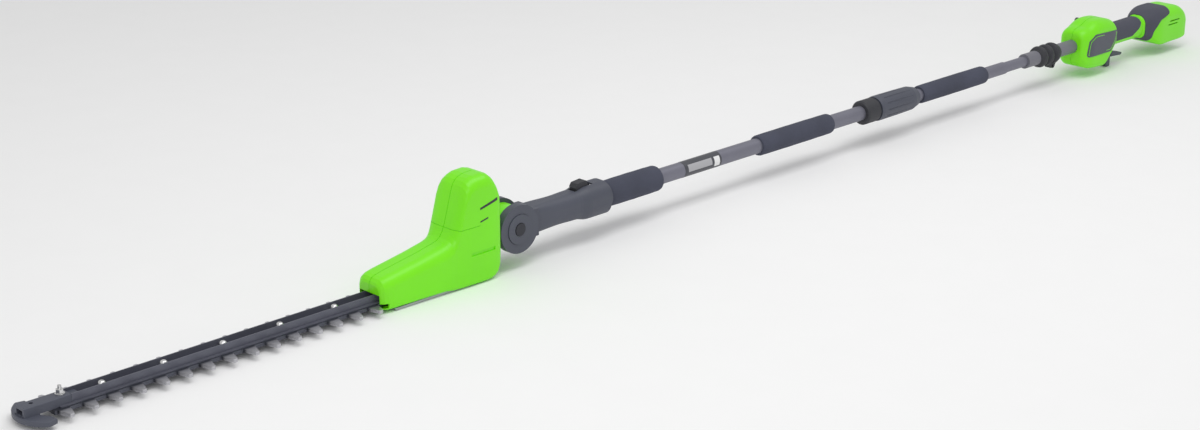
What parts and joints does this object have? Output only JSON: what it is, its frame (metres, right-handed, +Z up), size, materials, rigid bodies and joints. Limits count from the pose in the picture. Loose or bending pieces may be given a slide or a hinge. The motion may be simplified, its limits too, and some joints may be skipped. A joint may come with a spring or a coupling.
{
  "type": "pole hedge trimmer",
  "caption": "Cordless pole hedge trimmer with a double-sided reciprocating blade, a tilting motor head, a jointed pole with foam grips, a strap collar and a trigger handle.",
  "frame": {"origin": "on the floor under the middle of the tool's overall box", "axes": "+X along the pole from the blade's tip to the rear handle, +Z up, -Y towards the side with the visible badge"},
  "size_m": [2.496, 0.078, 0.1525],
  "materials": {
    "green_plastic": "satin moulded",
    "dark_plastic": "satin moulded",
    "black_plastic": "matt",
    "grey_plastic": "satin",
    "soft_rubber": "matt overmould",
    "foam": "fine-grained closed-cell foam",
    "tube_alloy": "satin anodised",
    "rail_paint": "satin paint",
    "blade_steel": "ground",
    "fastener_steel": "zinc plated",
    "black_steel": "black oxide",
    "cast_alloy": "as cast",
    "motor_steel": "plated",
    "magnet": "sintered",
    "badge_plastic": "satin",
    "board": "lacquered",
    "contact_brass": "bare"
  },
  "bodies": {
    "blade_low": {"blade_lower": "blade_steel"},
    "blade_high": {"blade_upper": "blade_steel"},
    "head": {"rail": "rail_paint", "rail_bolts": "fastener_steel", "rail_nuts": "fastener_steel", "tip_guard": "dark_plastic", "tip_screw": "fastener_steel", "head_shell_left": "green_plastic", "head_shell_right": "green_plastic", "head_screws": "fastener_steel", "gear_case": "cast_alloy", "crank_bearing": "fastener_steel", "motor_can": "motor_steel", "motor_magnets": "magnet", "motor_end_cap": "black_plastic", "bottom_plate": "cast_alloy", "tilt_hub": "green_plastic"},
    "crank_shaft": {"crank": "fastener_steel", "gear_wheel": "fastener_steel"},
    "motor_rotor": {"rotor": "motor_steel", "pinion": "fastener_steel"},
    "collar": {"coupling_collar": "dark_plastic"},
    "release": {"tilt_release": "black_plastic"},
    "trigger_lever": {"trigger": "dark_plastic"},
    "button": {"lock_button": "black_plastic"},
    "pole": {"fork_left": "dark_plastic", "fork_right": "dark_plastic", "cheek_caps": "dark_plastic", "pivot_bolt": "black_steel", "pivot_nut": "black_steel", "handle_shell_left": "dark_plastic", "handle_shell_right": "dark_plastic", "handle_plug": "black_plastic", "grip_ferrule": "dark_plastic", "front_tube": "tube_alloy", "front_grip": "foam", "middle_grip": "foam", "coupling_base": "black_plastic", "rear_tube": "tube_alloy", "rear_grip": "foam", "neck_tube": "tube_alloy", "strap_sleeve": "grey_plastic", "strap_collar": "black_plastic", "neck_ferrule": "grey_plastic", "tube_clamp": "black_plastic", "rear_shell_left": "green_plastic", "rear_shell_right": "green_plastic", "rear_screws": "fastener_steel", "soft_grip": "soft_rubber", "rear_saddle": "soft_rubber", "badges": "badge_plastic", "trigger_pin": "fastener_steel", "trigger_post": "dark_plastic", "switch_block": "black_plastic", "control_board": "board", "terminal_block": "black_plastic", "terminal_blades": "contact_brass", "battery_rails": "dark_plastic"}
  },
  "joints": [
    {"name": "head_tilt", "type": "hinge", "parent": "pole", "child": "head", "pos_m": [-0.479, 0, 0.058], "axis": [0, 1, 0], "range_deg": [-90, 45]},
    {"name": "upper_blade_slide", "type": "slide", "parent": "head", "child": "blade_high", "axis": [1, 0, 0], "range_m": [-0.0075, 0.0075]},
    {"name": "lower_blade_slide", "type": "slide", "parent": "head", "child": "blade_low", "axis": [1, 0, 0], "range_m": [-0.0075, 0.0075]},
    {"name": "crank_spin", "type": "hinge", "parent": "head", "child": "crank_shaft", "pos_m": [-0.586, 0, 0.03], "axis": [0, 0, 1], "continuous": true},
    {"name": "rotor_spin", "type": "hinge", "parent": "head", "child": "motor_rotor", "pos_m": [-0.558, 0, 0.08], "axis": [0, 0, 1], "continuous": true},
    {"name": "collar_twist", "type": "hinge", "parent": "pole", "child": "collar", "pos_m": [0.392, 0, 0.058], "axis": [1, 0, 0], "range_deg": [0, 90]},
    {"name": "release_slide", "type": "slide", "parent": "pole", "child": "release", "axis": [1, 0, 0], "range_m": [0, 0.008], "stiffness_N_per_m": 600, "springref_m": -0.004},
    {"name": "trigger_pull", "type": "hinge", "parent": "pole", "child": "trigger_lever", "pos_m": [1.024, 0, 0.021], "axis": [0, -1, 0], "range_deg": [0, 10], "stiffness_Nm_per_rad": 0.8, "springref_deg": -8.59},
    {"name": "lock_off_press", "type": "slide", "parent": "pole", "child": "button", "axis": [0, -1, 0], "range_m": [0, 0.003], "stiffness_N_per_m": 800, "springref_m": -0.002}
  ],
  "couplings": [
    {"joint": "lower_blade_slide", "follows": "upper_blade_slide", "ratio": -1},
    {"joint": "rotor_spin", "follows": "crank_spin", "ratio": -4.6}
  ]
}
